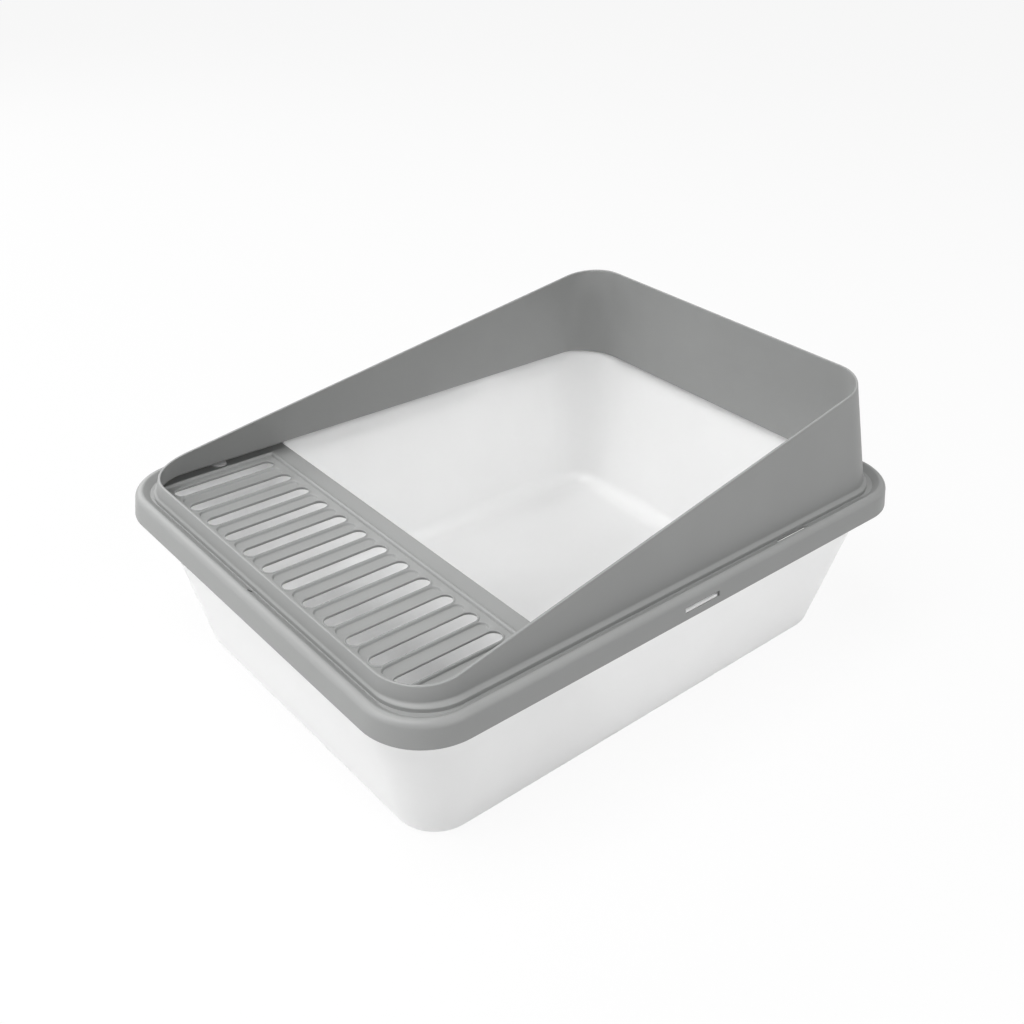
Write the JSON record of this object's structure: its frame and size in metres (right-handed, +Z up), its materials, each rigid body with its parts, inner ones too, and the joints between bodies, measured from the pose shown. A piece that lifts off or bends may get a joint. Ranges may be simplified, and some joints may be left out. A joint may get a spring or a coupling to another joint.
{
  "type": "open litter box",
  "caption": "Tapered litter pan with a raised shield frame that is low at the front and high at the back, and a slotted step grate across the front.",
  "frame": {"origin": "bottom centre of the bounding box, on the plane that the pan stands on", "axes": "+Z up, +Y from the low front with the grate towards the high back wall, +X to the right as seen from the front"},
  "size_m": [0.383, 0.5, 0.2252],
  "materials": {
    "pan_plastic": "satin, moulded, white",
    "frame_plastic": "fine matt texture, moulded, mid grey",
    "grate_plastic": "fine matt texture, moulded, mid grey"
  },
  "bodies": {
    "litter_pan": {"litter_pan": "pan_plastic"},
    "step_grate": {"step_grate": "grate_plastic"},
    "shield_frame": {"shield_frame": "frame_plastic"}
  },
  "joints": [
    {"name": "grate_lift", "type": "slide", "parent": "litter_pan", "child": "step_grate", "axis": [0, 0, 1], "range_m": [0, 0.12]},
    {"name": "frame_lift", "type": "slide", "parent": "step_grate", "child": "shield_frame", "axis": [0, 0, 1], "range_m": [0, 0.12]}
  ]
}
